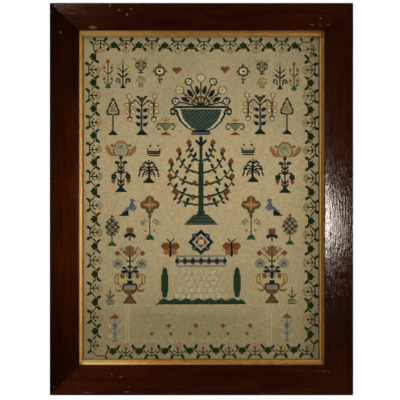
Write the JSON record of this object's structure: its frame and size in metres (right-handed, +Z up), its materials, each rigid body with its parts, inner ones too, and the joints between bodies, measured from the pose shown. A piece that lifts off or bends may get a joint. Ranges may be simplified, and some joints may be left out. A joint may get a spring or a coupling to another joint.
{
  "type": "cross stitch sampler in a wooden frame",
  "caption": "Flat even-weave cloth worked in cross stitch, held behind a gilt slip in a mitred polished wood frame with a plain backboard, for hanging on a wall.",
  "frame": {"origin": "middle of the flat back of the top rail, on the wall plane", "axes": "+Z up, -Y out of the wall towards the viewer, +X to the viewer's right"},
  "size_m": [0.44, 0.023, 0.569],
  "materials": {
    "mahogany": "dark red-brown mahogany, polished",
    "gilt": "aged gilding on gesso, satin",
    "linen": "aged even-weave cloth, matt",
    "thread": "stranded silk and wool thread, faded",
    "deal": "plain unfinished softwood"
  },
  "bodies": {
    "root": {"rail_left": "mahogany", "rail_right": "mahogany", "rail_top": "mahogany", "rail_bottom": "mahogany", "slip_left": "gilt", "slip_right": "gilt", "slip_top": "gilt", "slip_bottom": "gilt", "sampler_cloth": "linen", "backboard": "deal"}
  },
  "joints": []
}
